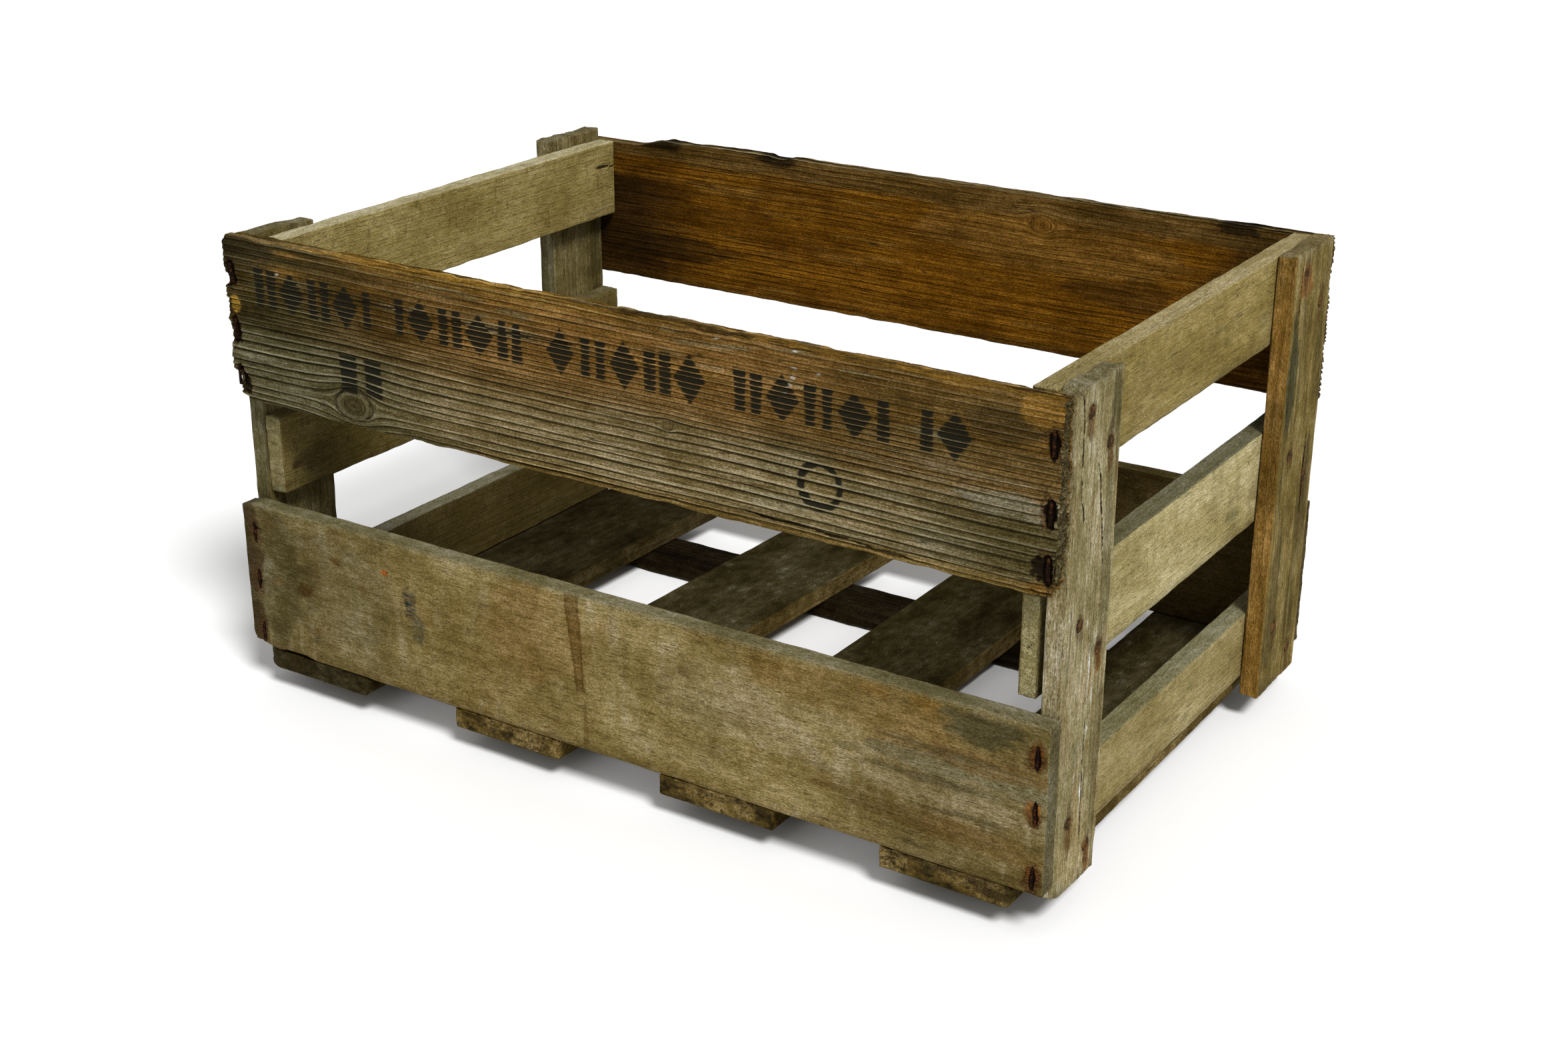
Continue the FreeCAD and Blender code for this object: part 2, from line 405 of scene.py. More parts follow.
def staple_pits(b, node, axis, side, face, depth=1.7, reach=(1.7, 1.5)):
    """Ragged hollows that leave each staple's crown standing free, stained by rust."""
    for low, high in outer_ends(node, axis, side, 12.5):
        s, t, half_s, half_t = b.own(low, high)
        if not (-2 < s < b.size[0] + 2 and -2 < t < b.size[1] + 2):
            continue
        pit = b.spot(s, t, half_s * 1.15 + reach[0], half_t * 1.15 + reach[1], face, 0.45)
        b.dig(pit, depth, 0.75)
        torn = b.spot(s, t, half_s + 3.5, half_t + 2.5, face, 0.9)
        b.depth += 0.3 * torn
        halo = b.spot(s, t, half_s + 4.5, half_t + 4.0, face, 0.9)
        b.rust = np.maximum(b.rust, np.maximum(0.9 * pit, np.maximum(0.7 * torn, 0.5 * halo)))


def nail_seats(b, node, axis, side, tail=14.0, soot=0.55):
    """A seat round each nail head, with a rust halo, a rust run below it and a long dark stain."""
    for number, (low, high) in enumerate(outer_ends(node, axis, side, 7.5)):
        s, t, half_s, half_t = b.own(low, high)
        away = np.hypot(b.s - s, b.t - t) + 0.7 * rough(b.s / 2.2, b.t / 2.2, number, 3, b.seed)
        outer = b.facing(OUTER)
        b.dig(ease(away, half_s + 0.1, half_s - 1.0) * outer, 1.2, 0.75)
        b.depth += ease(away, half_s + 3.0, half_s) * 0.15 * outer
        halo = ease(away, half_s + 3.0, half_s * 0.7) * outer
        run = ease(np.abs(b.t - t) + 0.5 * rough(b.s / 6, b.t, number, 2, b.seed), 2.4, 0.6)
        run = run * ease(b.s, s - tail, s - 2) * (b.s < s) * outer
        b.rust = np.maximum(b.rust, np.maximum(0.75 * halo, 0.6 * run))
        long = tail * (0.6 + 0.5 * hashed(number, b.seed, 0, 7))
        stain = b.spot(s - 0.2 * long, t, long, half_t + 0.6, OUTER, 0.9)
        b.rust = np.maximum(b.rust, soot * stain)


# ---- materials


class Tree:
    """A short way to write a node material."""

    def __init__(self, name):
        self.material = bpy.data.materials.new(name)
        self.material.use_nodes = True
        self.nodes = self.material.node_tree.nodes
        self.links = self.material.node_tree.links
        self.nodes.clear()

    def node(self, kind, inputs=(), **settings):
        """Adds a shader node, links or sets its inputs and gives its outputs."""
        made = self.nodes.new("ShaderNode" + kind)
        for key, value in settings.items():
            setattr(made, key, value)
        for key, value in dict(inputs).items():
            if isinstance(value, bpy.types.NodeSocket):
                self.links.new(value, made.inputs[key])
            else:
                made.inputs[key].default_value = value
        return made.outputs

    def read(self, name):
        return self.node("Attribute", attribute_name=name)

    def math(self, operation, a, b=0.0, clamp=False):
        return self.node("Math", {0: a, 1: b}, operation=operation, use_clamp=clamp)[0]

    def times(self, *values):
        product = values[0]
        for value in values[1:]:
            product = self.math("MULTIPLY", product, value)
        return product

    def total(self, *terms):
        """Adds up value times factor over the pairs (value, factor)."""
        added = 0.0
        for value, factor in terms:
            added = self.math("ADD", added, self.math("MULTIPLY", value, factor))
        return added

    def step(self, value, low, high, to_low=0.0, to_high=1.0):
        inputs = {"Value": value, "From Min": low, "From Max": high, "To Min": to_low, "To Max": to_high}
        return self.node("MapRange", inputs, interpolation_type="SMOOTHSTEP")["Result"]

    def noise(self, vector, factors, detail=4.0, roughness=0.6):
        stretched = self.node("VectorMath", {0: vector, 1: factors}, operation="MULTIPLY")
        inputs = {"Vector": stretched["Vector"], "Scale": 1.0, "Detail": detail, "Roughness": roughness}
        return self.node("TexNoise", inputs)["Fac"]

    def mix(self, factor, a, b, blend="MIX"):
        inputs = {0: factor, 6: a, 7: b}
        return self.node("Mix", inputs, data_type="RGBA", blend_type=blend, clamp_factor=True)[2]

    def split(self, vector):
        return self.node("SeparateXYZ", {0: vector})

    def finish(self, colour, roughness, height, distance):
        """Ends the tree in a dull, bumpy surface."""
        bump = self.node("Bump", {"Strength": 1.0, "Distance": distance, "Height": height})
        inputs = {"Base Color": colour, "Roughness": roughness, "Normal": bump["Normal"]}
        inputs.update({"Metallic": 0.0, "Specular IOR Level": 0.02})
        shader = self.node("BsdfPrincipled", inputs)
        self.node("OutputMaterial", {"Surface": shader["BSDF"]})
        return self.material


def rgba(colour):
    return (*colour, 1.0)


def layered(m, colour, layers):
    """Mixes each (mask, plain colour) over the one before."""
    for mask, plain in layers:
        colour = m.mix(mask, colour, rgba(plain))
    return colour


def tinted(m, light):
    """The timber's own paint times light. Dim places turn warmer and bright ones cooler."""
    light = m.math("POWER", light, 1.35)
    green = m.times(light, m.step(light, 0.4, 1.8, 0.97, 1.07))
    blue = m.times(light, m.step(light, 0.4, 1.8, 0.72, 1.45))
    shade = m.node("CombineColor", {0: light, 1: green, 2: blue})[0]
    return m.mix(1.0, m.read("tint")["Color"], shade, "MULTIPLY")


def wood(name, fibre=0.3, streak=0.14, ring_dark=0.12, pores=0.7, speckle=0.66, relief=0.8,
         length=0.22, checks=0.4, mottle=0.19, end=0.35):
    """Old wood. The timber's own paint gives the broad colour; fibres, rings, pores, hair cracks, dirt,
    rust and worn ink come on top, all laid out along the timber's own grain. Painted shade, mixed with
    dirt, darkens the ring valleys and the hollows, and a painted highlight lightens the ring crests. The
    numbers say how strongly each of them shows, and length sets how short the fibres are. Gives the name,
    which is also the name of the slot it goes into, and the material."""
    m = Tree(name)
    grain = m.read("grain")["Vector"]
    marks = m.read("marks")
    rust, ink, hollow = m.split(marks["Color"])
    cut = marks["Alpha"]
    ring, shows = m.split(m.read("rings")["Vector"])[:2]

    fine = m.noise(grain, (length, 2.3, 2.3), 5.0, 0.7)
    broad = m.noise(grain, (0.011, 0.33, 0.33), 4.0, 0.6)
    grit = m.noise(grain, (0.75, 1.5, 1.5), 3.0, 0.75)
    cloud = m.noise(grain, (0.018, 0.032, 0.032), 5.0, 0.62)
    blotch = m.noise(grain, (0.12, 0.17, 0.17), 3.0, 0.55)
    open_air = m.step(m.split(grain)[2], -5.6, -4.0, 0.15, 1.0)

    part = m.math("FRACT", ring)
    valley = m.times(m.step(part, 0.58, 0.92), m.step(part, 1.0, 0.97), shows)
    crest = m.times(m.step(part, 0.3, 0.03), shows)

    # Fibres, streaks, mottle, blotches and grit vary the wood's own tone. The valley term darkens each ring
    # valley with painted shade under the ridge and some dirt, and the crest term brightens each crest with a
    # painted highlight.
    light = m.times(
        m.step(fine, 0.25, 0.75, 1 - fibre * 0.5, 1 + fibre * 0.5),
        m.step(broad, 0.25, 0.75, 1 - streak * 0.5, 1 + streak * 0.5),
        m.step(cloud, 0.28, 0.72, 1 - mottle, 1 + mottle),
        m.step(blotch, 0.3, 0.7, 1 - mottle * 0.45, 1 + mottle * 0.45),
        m.step(grit, 0.3, 0.75, 1 - speckle * 0.5, 1 + speckle * 0.5),
        m.math("SUBTRACT", 1.0, m.times(valley, ring_dark)),
        m.math("ADD", 1.0, m.times(crest, ring_dark * 0.9)),
    )
    colour = tinted(m, light)

    # Grey bleach on the ridge crests in the open air, which also serves as a painted highlight on them.
    bleach_and_painted_highlight = m.times(crest, open_air, m.step(broad, 0.36, 0.6, 0.0, 0.55 * ring_dark))
    dashes = m.noise(grain, (0.2, 2.6, 2.6), 2.0, 0.5)
    pore = m.step(dashes, 0.6, 0.7, 0.0, pores)
    level = m.noise(grain, (0.007, 0.21, 0.21), 2.0, 0.5)
    off = m.math("ABSOLUTE", m.math("SUBTRACT", level, 0.5))
    check = m.times(m.step(off, 0.011, 0.003), m.step(cloud, 0.5, 0.6), checks)
    fleck = m.noise(grain, (0.9, 1.3, 1.3), 2.0, 0.5)
    dust = m.times(open_air, m.step(fleck, 0.7, 0.76, 0.0, 0.4))
    torn = m.noise(grain, (0.3, 0.55, 0.8), 4.0, 0.7)
    ends = m.times(cut, m.step(torn, 0.38, 0.62, end, end * 0.15))
    worn = m.total((ink, 1.0), (grit, 0.6), (crest, -1.3), (cloud, 1.1))
    inked = m.step(worn, 1.31, 1.51, 0.0, 0.96)
    wear_and_highlight = [(bleach_and_painted_highlight, BLEACH_AND_HIGHLIGHT), (pore, PORE), (check, HAIR_CRACK), (dust, DUST), (ends, END_GRAIN)]
    colour = layered(m, colour, [*wear_and_highlight, (inked, INK)])

    rusty = m.mix(m.step(grit, 0.42, 0.66), rgba(RUST_DARK), rgba(RUST_BRIGHT))
    amount = m.math("MULTIPLY", rust, m.step(cloud, 0.2, 0.6, 0.75, 1.1), clamp=True)
    colour = m.mix(amount, colour, rusty)
    # Cracks, pits and seats go nearly black here: dirt with painted shade in the hollows.
    dirt_and_painted_shade = m.step(hollow, 0.18, 0.62, 0.0, 0.93)
    colour = m.mix(dirt_and_painted_shade, colour, rgba(HOLLOW_DIRT_AND_SHADE))

    roughness = m.step(fine, 0.2, 0.8, 0.94, 0.76)
    roughness = m.math("SUBTRACT", roughness, m.times(inked, 0.2))
    height = m.total(
        (fine, 0.55), (grit, 0.3), (valley, -0.5), (crest, 0.25), (pore, -0.45), (check, -0.45)
    )
    return name, m.finish(colour, roughness, height, WOOD_BUMP * relief)


def rusty_iron(name, dark, bright, share):
    """Rusted steel: scale and bright rust in patches, with a rough skin."""
    m = Tree(name)
    where = m.node("TexCoord")["Object"]
    scale = m.noise(where, (420.0, 420.0, 420.0), 4.0, 0.65)
    grit = m.noise(where, (1500.0, 1500.0, 1500.0), 3.0, 0.6)
    colour = m.mix(m.step(scale, share - 0.08, share + 0.08), rgba(dark), rgba(bright))
    colour = m.mix(m.step(grit, 0.35, 0.7, 0.35, 0.0), colour, rgba(IRON_PIT))
    roughness = m.step(grit, 0.3, 0.7, 0.55, 0.85)
    height = m.total((scale, 0.6), (grit, 0.4))
    return m.finish(colour, roughness, height, IRON_BUMP)


SOFTWOOD = wood(
    "weathered_softwood", fibre=1.0, streak=0.5, ring_dark=0.93, pores=0.3, speckle=0.85, relief=1.3,
    length=0.055, checks=0.7, mottle=0.22, end=0.92,
)
HARDWOOD = wood("side_hardwood", fibre=0.36, pores=0.8, speckle=0.7, length=0.2, mottle=0.24, end=0.6)
POST_WOOD = wood(
    "post_wood", fibre=0.4, streak=0.3, ring_dark=0.2, pores=0.6, speckle=0.7, relief=1.0,
    length=0.16, checks=0.7, mottle=0.29, end=0.4,
)
SLAT_WOOD = wood("slat_wood")
FLOOR_WOOD = wood(
    "floor_wood", streak=0.1, ring_dark=0.14, pores=0.5, speckle=0.95, relief=1.2,
    length=0.25, checks=0.7, mottle=0.5, end=0.6,
)
NAIL_IRON = rusty_iron("rusty_nail", (0.028, 0.017, 0.007), (0.15, 0.07, 0.017), 0.53)
STAPLE_IRON = rusty_iron("rusty_staple", (0.008, 0.004, 0.003), (0.075, 0.024, 0.006), 0.57)


# ---- upper side boards


def stencil(b, shapes):
    """Ink strength from a list of (kind, s, t, half width, half height): about 1 well inside."""
    nearest = np.full(len(b.s), 99.0)
    for kind, s, t, half_s, half_t in shapes:
        off_s = np.abs(b.s - s)
        off_t = np.abs(b.t - t)
        if kind == "bar":
            off = np.maximum(off_s - half_s, off_t - half_t)
        elif kind == "lozenge":
            off = (off_s / half_s + off_t / half_t - 1) * min(half_s, half_t) * 0.8
        else:
            off = np.abs(np.hypot(off_s, off_t) - half_s) - half_t
        nearest = np.minimum(nearest, off)
    b.ink = np.clip(0.72 - nearest / 5, 0, 1) * (nearest < 2) * b.facing(OUTER)


def stencil_row(start, end, base, height):
    """A plain row of bars and lozenges, in four groups with gaps between them."""
    shapes = []
    s = start
    count = 0
    while s < end:
        if count % 3 == 2:
            shapes.append(("lozenge", s + 7.5, base + height / 2, 8, height / 2))
            s += 20
        else:
            shapes.append(("bar", s + 2.5, base + height / 2, 2.2, height / 2 - 1))
            s += 9
        count += 1
        if count % 7 == 0:
            s += 13
    return shapes


def front_upper_board():
    """The stencilled board: bold ridges, a knot low on the left and torn ends."""
    b = Timber("front_upper_board", "XZY", -1, 1)
    b.cut((1.05, 0.55, 0.6), [(3, 11, 0.6), (493, 11, 0.6)])
    b.round_edges(0.9 + 0.5 * (b.t > 46))
    wander_grain(b, 1.3)
    heart = knot(b, 88.4, 11.8, 8.4)
    heart += 0.25 * rough(b.s / 9, b.t / 5, 0, 3, 44)
    knot(b, 290, 40, 2.2)
    places = ring_places(-8, 104, lambda t: 4.6 if t < 44 else (2.45 if t < 72 else 3.4), 11)
    calm = 0.55 + 0.45 * b.patches(120, 30, -0.5, 0.4, 50)
    outer = np.where(b.t < 46, 1, np.where(b.t < 74, 0.8, 0.45)) * calm
    grow_rings(b, places, np.where(b.normal[:, 2] > 0, outer, 0.5 * calm))
    b.rings[:, 0] = np.where(heart < 1, heart * 2, b.rings[:, 0])
    b.rings[:, 1] *= np.where(heart < 1, 0.05, 1)
    b.depth += 0.5 * ease(np.abs(heart - 1), 0.14, 0.04)
    ridges(b, 1.15)
    fibres(b, 0.22)
    frayed_edges(b, 0.55)
    rough_ends(b, 2)
    left_end_of_front_board(b)
    crumbled = tears_of_front_board(b)
    row = stencil_row(24, 455, 55, 21)
    squares = [("bar", 86.5, 28.5, 5.2, 9.5), ("bar", 103.5, 28.5, 5.2, 9.5)]
    stencil(b, row + squares + [("ring", 375, 28, 10.5, 1.4)])

    p = Paint(b, (0.29, 0.155, 0.042))
    paint_front_upper_face(b, p, heart)
    paint_front_upper_edges(b, p)
    p.over(crumbled, (0.34, 0.18, 0.04), 0.75)
    p.spot(492, 43, 4, 4, 0.8, (0.5, 0.47, 0.36), 0.7)
    ends = ease(np.abs(b.normal[:, 0]), 0.4, 0.8)
    p.over(ends, (0.27, 0.225, 0.115), 0.85)
    p.over(ends * ease(rough(b.t / 5, b.w / 4, 0, 4, 73), 0, 0.4), (0.1, 0.075, 0.03), 0.8)
    inner_softwood(b, p)
    b.build(p.rgb, SOFTWOOD, (0.53, 0.51, 0.43))


def tears_of_front_board(b):
    """The worn right end and edges, cracks and tears. Gives the crumbled lower right corner."""
    b.trim(0, 1, 3.2 * ease(b.t, 9, 1) + 1.2 * ease(np.abs(b.t - 14), 7, 3), 12)
    b.trim(0, 1, 2.4 * np.clip(rough(b.t / 3, b.w / 5, 0, 3, 78) + 0.25, 0, 1), 9)
    b.trim(1, -1, 0.9 * np.clip(rough(b.s / 16, 1, b.w / 5, 4, 77) + 0.3, 0, 1), 9)
    b.trim(1, 1, 1.3 * np.clip(rough(b.s / 9, 2, b.w / 2.5, 4, 79) + 0.2, 0, 1), 6)
    b.depth += 0.9 * ease(b.s, 478, 490) * np.clip(rough(b.s / 5, b.t / 1.8, b.w / 4, 3, 46), 0, 1)
    staple_pits(b, "front_upper_board_staples", 1, -1, OUTER, 1.7, (2.7, 1.8))
    b.crack([(330, 7), (372, 6), (430, 2.5)], 0.45, 0.8, 5)
    b.crack([(60, 71), (150, 69.5), (240, 70.5)], 0.5, 0.5, 6)
    tears = [(3, 37, 7, 8), (6, 10, 6, 7), (4, 70, 5, 7), (489, 13, 7, 7), (491, 40, 5, 5)]
    for s, t, reach_s, reach_t in tears:
        b.dig(b.spot(s, t, reach_s, reach_t, OUTER, 0.9), 1.1, 0.62)
    crumbled = b.spot(492, 3, 12, 5, 0, 0.6)
    b.depth += crumbled * (0.9 + 0.9 * rough(b.s / 3, b.t / 1.2, b.w / 2, 3, 45))
    return crumbled


def paint_front_upper_face(b, p, heart):
    """Orange brown above and grey below, sooty at the left, with a dark knot and a painted highlight along
    the lower right ridges.
    """
    p.over(ease(b.t, 58, 26), (0.34, 0.262, 0.132))
    p.over(b.patches(90, 16, 0, 0.5, 60) * ease(b.t, 60, 30), GREY, 0.6)
    # Pale grey lines along the lower right ridges: a painted highlight on their crests.
    painted_crest_highlight = b.patches(40, 3, 0, 0.4, 74) * ease(b.s, 300, 420) * ease(b.t, 70, 45)
    p.over(painted_crest_highlight, (0.37, 0.345, 0.24), 0.6)
    p.over(ease(b.s, 200, 40), (0.053, 0.044, 0.013), 0.9)
    p.over(ease(b.s, 170, 60) * ease(b.t, 46, 34), (0.2, 0.178, 0.1), 0.75)
    p.over(ease(b.s, 330, 420) * ease(b.t, 30, 60), (0.16, 0.1, 0.028), 0.8)
    p.over(ease(b.s, 380, 470) * ease(b.t, 50, 25), (0.148, 0.118, 0.05), 0.87)
    p.over(b.patches(70, 12, 0.05, 0.5, 61) * ease(b.t, 55, 72), CHESTNUT, 0.6)
    p.over(b.patches(50, 7, 0, 0.45, 62) * ease(b.t, 58, 78), ORANGE, 0.65)
    p.over(b.patches(40, 5, 0.1, 0.45, 64) * ease(b.t, 52, 70), GREY, 0.55)
    p.over(ease(b.t, 84, 91) * ease(b.s, 60, 130) * ease(b.s, 330, 200), (0.42, 0.25, 0.055), 0.75)
    p.over(ease(b.t, 9, 2) * ease(b.s, 120, 220), (0.29, 0.185, 0.05), 0.8)
    p.over(ease(b.t, 9, 1) * ease(b.s, 200, 120), (0.15, 0.125, 0.06), 0.6)
    p.spot(470, 76, 32, 9, 0.35, (0.13, 0.085, 0.03), 0.8)
    p.spot(486, 86, 12, 9, 0.8, (0.46, 0.25, 0.055), 0.8, face=0)
    p.spot(470, 40, 22, 7, 0.9, (0.3, 0.29, 0.21), 0.4)
    p.over(ease(heart, 1.3, 0.7), (0.17, 0.14, 0.075), 0.6)
    p.over(ease(heart, 0.55, 0.2), (0.11, 0.075, 0.03), 0.6)


def paint_front_upper_edges(b, p):
    """The upper edge, its dark lip, the sooty left end and a few drops of white."""
    upward = b.upward()
    p.over(upward, (0.32, 0.18, 0.034), 0.9)
    p.over(upward * ease(b.s, 60, 110) * ease(b.s, 260, 150), (0.55, 0.31, 0.05), 0.75)
    p.over(upward * b.patches(60, 5, 0, 0.4, 68), (0.46, 0.25, 0.04), 0.7)
    p.over(upward * ease(rough(b.s / 40, 0, b.w / 1.8, 4, 67), 0.05, 0.3), (0.06, 0.036, 0.012), 0.85)
    lip = ease(b.t, 88.5, 90.5) * ease(b.normal[:, 2], 0.2, 0.7) * (b.normal[:, 2] < 0.98)
    p.over(lip * b.patches(14, 3, -0.1, 0.3, 69), (0.05, 0.027, 0.015), 0.7)
    p.over(upward * ease(b.s, 110, 30), (0.17, 0.13, 0.06), 0.7)
    p.spot(7, 54, 4.2, 5.5, 0.3, (0.55, 0.33, 0.06), face=0)
    p.spot(16, 84, 26, 8, 0.5, (0.05, 0.035, 0.014), 0.7)
    p.spot(3, 78, 9, 18, 0.6, (0.05, 0.036, 0.016), 0.7)
    drops = [(319, 88.5), (362, 90), (361, 81.5), (374, 81.2), (356.5, 69), (40, 75), (226, 60)]
    for s, t in drops + [(353, 66), (358, 73), (360, 77)]:
        p.spot(s, t, 1.4, 0.7, 0.7, (0.75, 0.75, 0.68), 0.85)


def left_end_of_front_board(b):
    """The torn left end: a V notch, staple tear-outs and the missing lower corner."""
    notch = 4.4 * np.clip(1.15 - np.abs(b.t - 67.6) / 3.4, 0, 1)
    lower = 10.5 * ease(b.t, 4.5, 0.8) + 5 * ease(b.t, 17.5, 15.5) * ease(b.t, 1, 3)
    tear = 1.2 * ease(np.abs(b.t - 37), 8.2, 6.8) + 1.5 * ease(np.abs(b.t - 52), 6, 4)
    ragged = 0.45 * np.clip(rough(b.t / 2.5, b.w / 4, 0, 3, 93) + 0.2, 0, 1)
    top = 2.6 * ease(b.t, 87, 92)
    b.trim(0, -1, notch + lower + tear + ragged + top, 26)


def inner_softwood(b, p):
    """The sheltered inner face: reddish brown, with darker and lighter patches."""
    inner = ease(-b.normal[:, 2], 0.8, 0.98)
    p.over(inner, (0.29, 0.125, 0.008))
    p.over(inner * b.patches(80, 20, -0.1, 0.6, 70), (0.17, 0.07, 0.006), 0.6)
    p.over(inner * b.patches(110, 24, 0, 0.6, 71), (0.36, 0.17, 0.016), 0.5)


def back_upper_board():
    """The board whose inner face shows: reddish brown, with a dark left end and a chipped top."""
    b = Timber("back_upper_board", "XZY", 1, 2)
    b.cut((1.4, 0.65, 0.9), [(4, 10, 0.8), (491, 10, 0.8)])
    b.round_edges(1)
    wander_grain(b, 1.5)
    heart = knot(b, 326, 75.5, 5)
    places = ring_places(-8, 104, lambda t: 3.4 if t < 30 else (2.4 if t < 70 else 3), 12)
    calm = 0.45 + 0.55 * b.patches(140, 24, -0.4, 0.4, 50)
    grow_rings(b, places, np.where(b.normal[:, 2] < 0, 0.4 * calm, 0.95 * calm))
    b.rings[:, 0] = np.where(heart < 1, heart * 4, b.rings[:, 0])
    ridges(b, 0.85)
    fibres(b, 0.2)
    frayed_edges(b, 0.6)
    rough_ends(b, 0.9)
    teeth = (b.rings[:, 0] % 1) ** 2 * (0.9 + 0.9 * rough(b.t / 7, 0, b.w / 4, 3, 96))
    b.trim(0, 1, teeth + 2.2 * np.clip(rough(b.t / 9, 0, b.w / 5, 3, 94), 0, 1), 12)
    b.trim(0, -1, teeth, 10)
    chip = ease(np.abs(b.s - 145), 9, 4) + 0.6 * ease(np.abs(b.s - 60), 30, 22)
    b.trim(1, 1, 1.2 * chip * np.clip(0.7 + rough(b.s / 7, 0, b.w / 5, 3, 95), 0, 1), 8)
    b.trim(1, 1, 5.5 * ease(b.s, 62, 34), 14)
    staple_pits(b, "back_upper_board_staples", 1, 1, OUTER)

    p = Paint(b, (0.27, 0.18, 0.06))
    p.patches(90, 18, 0, 0.5, 60, GREY, 0.6)
    p.patches(120, 25, 0, 0.5, 61, BROWN, 0.6)
    p.over(ease(b.t, 10, 1) * 0.7, BROWN)
    p.over(ease(b.t, 86, 91), (0.21, 0.15, 0.07), 0.7)
    inner_softwood(b, p)
    paint_back_upper_inside(b, p, heart)
    b.build(p.rgb, SOFTWOOD, (0.53, 0.49, 0.38))


def paint_back_upper_inside(b, p, heart):
    """The seen inner face: warm streaks, a darker left end, and dark stains along both edges."""
    p.spot(251, 28, 120, 30, 0.5, (0.32, 0.135, 0.01), 0.5, face=INNER)
    p.patches(34, 5, 0, 0.5, 72, (0.2, 0.085, 0.008), 0.5, face=INNER)
    p.patches(50, 4, 0.15, 0.5, 73, (0.42, 0.23, 0.05), 0.45, face=INNER)
    p.spot(330, 66, 90, 18, 0.6, (0.36, 0.2, 0.05), 0.5, face=INNER)
    p.over(b.spot(20, 30, 95, 38, INNER, 0.5) * ease(b.s, 110, 35), (0.035, 0.018, 0.005), 0.9)
    p.spot(70, 24, 50, 8, 0.6, (0.035, 0.019, 0.006), 0.6, face=INNER)
    p.over(b.patches(45, 3, 0, 0.5, 74, INNER) * ease(b.s, 190, 60), (0.045, 0.024, 0.007), 0.6)
    p.spot(374, 43, 34, 11, 0.9, (0.07, 0.038, 0.01), 0.5, face=INNER)
    p.spot(455, 45, 60, 40, 0.5, (0.11, 0.055, 0.012), 0.75, face=INNER)
    p.over(ease(b.t + 2 * rough(b.s / 30, 0, 0, 3, 97), 76, 82) * b.facing(INNER), (0.21, 0.135, 0.045), 0.7)
    p.over(ease(b.t, 9, 1) * b.facing(INNER), (0.12, 0.06, 0.012), 0.6)
    p.over(ease(heart, 1.5, 0.5) * b.facing(INNER), (0.24, 0.11, 0.015), 0.6)
    for s in (58, 145, 443):
        p.spot(s, 90, 16, 4.5, 0.5, (0.03, 0.02, 0.01), 0.85, face=0)


# ---- lower side boards


def lower_board(node, out, seed):
    """A smooth hardwood side board with faint rings and worn edges, not painted yet."""
    b = Timber(node, "XZY", out, seed)
    b.cut((1.5, 1, 1), [(6.5, 7, 0.7), (493.5, 7, 0.7), (105, 4, 0.8), (236, 9, 0.8)])
    rings = (-8, 100, 6.5, 13 + seed)
    saw(b, radius=1.1, bend=2.2, rings=rings, shows=0.35, ridge=0.12, fibre=0.12, fray=(0.4, 14), ends=0.5)
    staple_pits(b, node + "_staples", 1, out, OUTER, 1.1, (0.8, 0.8))
    return b


def front_lower_board():
    """The wide smooth board: worn corners, a brown run down its middle and rust at its ends."""
    b = lower_board("front_lower_board", -1, 3)
    for number, t in enumerate((64.5, 45.5, 36)):
        b.crack([(493, t), (498, t - 0.5), (503, t - 1)], 0.4, 0.6, number + 3)
    b.crack([(1, 73), (10, 73), (20, 73.5)], 0.4, 0.6, 7)
    b.trim(1, -1, 3.2 * ease(b.s, 22, 2) + 1.6 * ease(np.abs(b.s - 34), 16, 5), 10)
    b.trim(0, -1, 2.2 * ease(b.t, 9, 1), 9)
    b.trim(1, 1, 1.8 * ease(b.s, 9, 1), 8)

    p = Paint(b, (0.41, 0.315, 0.13))
    paint_front_lower_face(b, p)
    paint_front_lower_marks(b, p)
    paint_front_lower_right(b, p)
    p.over(b.patches(24, 3.2, 0.3, 0.6, 66) * ease(b.s, 300, 420), SOOT, 0.6)
    p.over(ease(b.t, 7, 0.5), (0.2, 0.14, 0.05), 0.6)
    p.over(b.upward() * ease(b.t, 80, 86), (0.25, 0.235, 0.15), 0.8)
    p.over(ease(b.t, 83.5, 87) * b.facing(OUTER), (0.36, 0.32, 0.19), 0.5)
    p.over(ease(b.s, 13, 3), (0.065, 0.048, 0.022), 0.8)
    p.over(ease(b.normal[:, 0], 0.4, 0.8), (0.27, 0.245, 0.155), 0.8)
    inner_hardwood(b, p)
    b.build(p.rgb, HARDWOOD, (0.58, 0.56, 0.49))


